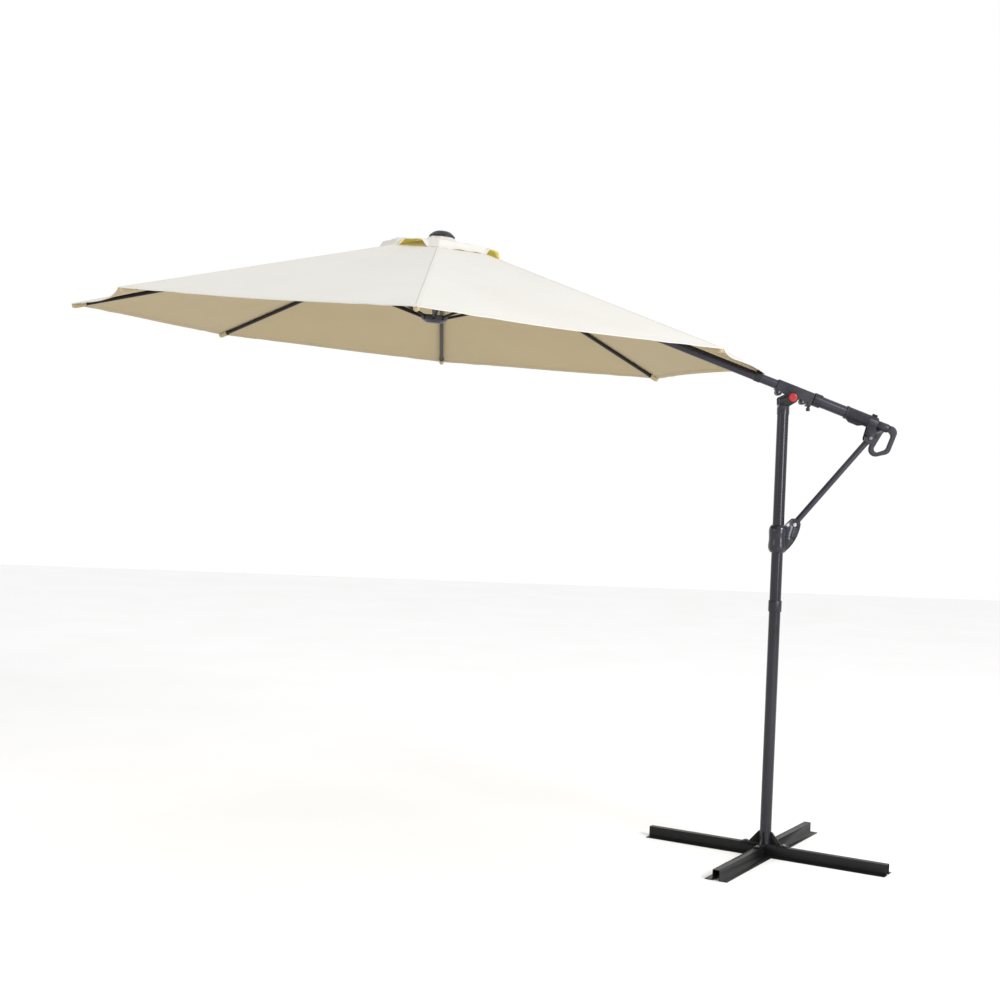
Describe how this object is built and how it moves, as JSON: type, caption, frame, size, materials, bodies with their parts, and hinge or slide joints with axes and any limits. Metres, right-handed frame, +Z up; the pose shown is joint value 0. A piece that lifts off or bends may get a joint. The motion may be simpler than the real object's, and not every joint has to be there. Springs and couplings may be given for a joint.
{
  "type": "cantilever parasol",
  "caption": "Garden parasol hung from a tilting side arm on a mast, with a folding ribbed canopy, a strut with a sliding carriage and a cross base.",
  "frame": {"origin": "on the ground, on the mast's axis", "axes": "+Z up the mast, +X from the mast towards the handle (the canopy hangs towards -X), +Y across the arm"},
  "size_m": [3.4486, 3, 2.5537],
  "materials": {
    "base_steel": "black satin paint",
    "mast_steel": "dark anthracite powder coat, semi-gloss",
    "arm_tube": "dark anthracite powder coat, semi-gloss",
    "rib_tube": "dark powder coat, satin",
    "hardware": "zinc-plated steel",
    "black_plastic": "moulded plastic, semi-gloss",
    "red_plastic": "moulded red plastic, gloss",
    "canopy_cloth": "woven polyester, cream",
    "strap_webbing": "woven webbing, black"
  },
  "bodies": {
    "base": {"base_bar_long": "base_steel", "base_bar_back": "base_steel", "base_bar_front": "base_steel", "base_tie_strip": "base_steel", "mast_foot": "base_steel", "foot_bolts": "hardware", "lower_mast": "mast_steel", "mast_spigot": "mast_steel", "mast_collar": "black_plastic", "collar_screw": "hardware"},
    "mast": {"upper_mast": "mast_steel", "mast_head": "black_plastic", "pivot_pin": "hardware"},
    "arm": {"front_arm_tube": "arm_tube", "rear_arm_tube": "arm_tube", "tube_reducer": "black_plastic", "arm_collar": "black_plastic", "head_housing_front": "black_plastic", "head_housing_back": "black_plastic", "housing_screws": "hardware", "grip_sleeve": "black_plastic", "end_block": "black_plastic", "end_plug": "black_plastic", "loop_handle": "black_plastic", "strut_top_pin": "hardware", "crown": "black_plastic", "crown_pins": "hardware", "finial": "black_plastic", "canopy": "canopy_cloth", "vent_cap": "canopy_cloth", "corner_strap": "strap_webbing"},
    "strut": {"strut_tube": "arm_tube", "strut_top_eye": "black_plastic", "strut_foot_eye": "black_plastic"},
    "carriage": {"carriage_front": "black_plastic", "carriage_back": "black_plastic", "carriage_bush": "black_plastic", "carriage_screw": "hardware", "strut_foot_pin": "hardware"},
    "red_button": {"red_button": "red_plastic"},
    "locking_peg": {"locking_peg": "black_plastic"},
    "runner": {"runner": "black_plastic", "runner_pins": "hardware"},
    "rib_1": {"rib_1": "rib_tube"},
    "stretcher_1": {"stretcher_1": "rib_tube"},
    "rib_2": {"rib_2": "rib_tube"},
    "stretcher_2": {"stretcher_2": "rib_tube"},
    "rib_3": {"rib_3": "rib_tube"},
    "stretcher_3": {"stretcher_3": "rib_tube"},
    "rib_4": {"rib_4": "rib_tube"},
    "stretcher_4": {"stretcher_4": "rib_tube"},
    "rib_5": {"rib_5": "rib_tube"},
    "stretcher_5": {"stretcher_5": "rib_tube"},
    "rib_6": {"rib_6": "rib_tube"},
    "stretcher_6": {"stretcher_6": "rib_tube"},
    "rib_7": {"rib_7": "rib_tube"},
    "stretcher_7": {"stretcher_7": "rib_tube"}
  },
  "joints": [
    {"name": "mast_swivel", "type": "hinge", "parent": "base", "child": "mast", "pos_m": [0, 0, 1.046], "axis": [0, 0, 1], "range_deg": [-180, 180]},
    {"name": "arm_tilt", "type": "hinge", "parent": "mast", "child": "arm", "pos_m": [0.032, 0, 1.917], "axis": [0, 1, 0], "range_deg": [-20, 0]},
    {"name": "strut_swing", "type": "hinge", "parent": "arm", "child": "strut", "pos_m": [0.3656, 0, 1.75962], "axis": [0, 1, 0], "range_deg": [0, 30]},
    {"name": "carriage_slide", "type": "slide", "parent": "mast", "child": "carriage", "axis": [0, 0, 1], "range_m": [0, 0.17]},
    {"name": "button_press", "type": "slide", "parent": "mast", "child": "red_button", "axis": [0, 1, 0], "range_m": [0, 0.004], "stiffness_N_per_m": 400, "springref_m": -0.002},
    {"name": "peg_pull", "type": "slide", "parent": "arm", "child": "locking_peg", "axis": [0, 0, -1], "range_m": [0, 0.006], "stiffness_N_per_m": 400, "springref_m": -0.002},
    {"name": "canopy_fold", "type": "hinge", "parent": "arm", "child": "rib_1", "pos_m": [-1.41604, 0.03253, 2.48592], "axis": [-0.7057, 0.7071, 0.0444], "range_deg": [0, 68], "deforming": ["canopy", "vent_cap"]},
    {"name": "stretcher_1_fold", "type": "hinge", "parent": "rib_1", "child": "stretcher_1", "pos_m": [-1.05883, 0.39976, 2.31522], "axis": [-0.7057, 0.7071, 0.0444], "range_deg": [-137, 0]},
    {"name": "rib_2_fold", "type": "hinge", "parent": "arm", "child": "rib_2", "pos_m": [-1.44851, 0.046, 2.48797], "axis": [-0.998, 0, 0.0628], "range_deg": [0, 68]},
    {"name": "stretcher_2_fold", "type": "hinge", "parent": "rib_2", "child": "stretcher_2", "pos_m": [-1.4578, 0.56534, 2.34032], "axis": [-0.998, 0, 0.0628], "range_deg": [-137, 0]},
    {"name": "rib_3_fold", "type": "hinge", "parent": "arm", "child": "rib_3", "pos_m": [-1.48097, 0.03253, 2.49001], "axis": [-0.7057, -0.7071, 0.0444], "range_deg": [0, 68]},
    {"name": "stretcher_3_fold", "type": "hinge", "parent": "rib_3", "child": "stretcher_3", "pos_m": [-1.85676, 0.39976, 2.36542], "axis": [-0.7057, -0.7071, 0.0444], "range_deg": [-137, 0]},
    {"name": "rib_4_fold", "type": "hinge", "parent": "arm", "child": "rib_4", "pos_m": [-1.49442, 0, 2.49085], "axis": [0, -1, 0], "range_deg": [0, 68]},
    {"name": "stretcher_4_fold", "type": "hinge", "parent": "rib_4", "child": "stretcher_4", "pos_m": [-2.02202, 0, 2.37582], "axis": [0, -1, 0], "range_deg": [-137, 0]},
    {"name": "rib_5_fold", "type": "hinge", "parent": "arm", "child": "rib_5", "pos_m": [-1.48097, -0.03253, 2.49001], "axis": [0.7057, -0.7071, -0.0444], "range_deg": [0, 68]},
    {"name": "stretcher_5_fold", "type": "hinge", "parent": "rib_5", "child": "stretcher_5", "pos_m": [-1.85676, -0.39976, 2.36542], "axis": [0.7057, -0.7071, -0.0444], "range_deg": [-137, 0]},
    {"name": "rib_6_fold", "type": "hinge", "parent": "arm", "child": "rib_6", "pos_m": [-1.44851, -0.046, 2.48797], "axis": [0.998, 0, -0.0628], "range_deg": [0, 68]},
    {"name": "stretcher_6_fold", "type": "hinge", "parent": "rib_6", "child": "stretcher_6", "pos_m": [-1.4578, -0.56534, 2.34032], "axis": [0.998, 0, -0.0628], "range_deg": [-137, 0]},
    {"name": "rib_7_fold", "type": "hinge", "parent": "arm", "child": "rib_7", "pos_m": [-1.41604, -0.03253, 2.48592], "axis": [0.7057, 0.7071, -0.0444], "range_deg": [0, 68]},
    {"name": "stretcher_7_fold", "type": "hinge", "parent": "rib_7", "child": "stretcher_7", "pos_m": [-1.05883, -0.39976, 2.31522], "axis": [0.7057, 0.7071, -0.0444], "range_deg": [-137, 0]},
    {"name": "runner_fold", "type": "hinge", "parent": "stretcher_1", "child": "runner", "pos_m": [-1.43462, 0.03253, 2.19063], "axis": [-0.7057, 0.7071, 0.0444], "range_deg": [0, 68]}
  ],
  "couplings": [
    {"joint": "strut_swing", "follows": "arm_tilt", "ratio": -1.3},
    {"joint": "carriage_slide", "follows": "arm_tilt", "m_per_rad": -0.4462},
    {"joint": "stretcher_1_fold", "follows": "canopy_fold", "ratio": -2},
    {"joint": "rib_2_fold", "follows": "canopy_fold", "ratio": 1},
    {"joint": "stretcher_2_fold", "follows": "canopy_fold", "ratio": -2},
    {"joint": "rib_3_fold", "follows": "canopy_fold", "ratio": 1},
    {"joint": "stretcher_3_fold", "follows": "canopy_fold", "ratio": -2},
    {"joint": "rib_4_fold", "follows": "canopy_fold", "ratio": 1},
    {"joint": "stretcher_4_fold", "follows": "canopy_fold", "ratio": -2},
    {"joint": "rib_5_fold", "follows": "canopy_fold", "ratio": 1},
    {"joint": "stretcher_5_fold", "follows": "canopy_fold", "ratio": -2},
    {"joint": "rib_6_fold", "follows": "canopy_fold", "ratio": 1},
    {"joint": "stretcher_6_fold", "follows": "canopy_fold", "ratio": -2},
    {"joint": "rib_7_fold", "follows": "canopy_fold", "ratio": 1},
    {"joint": "stretcher_7_fold", "follows": "canopy_fold", "ratio": -2},
    {"joint": "runner_fold", "follows": "canopy_fold", "ratio": 1}
  ]
}
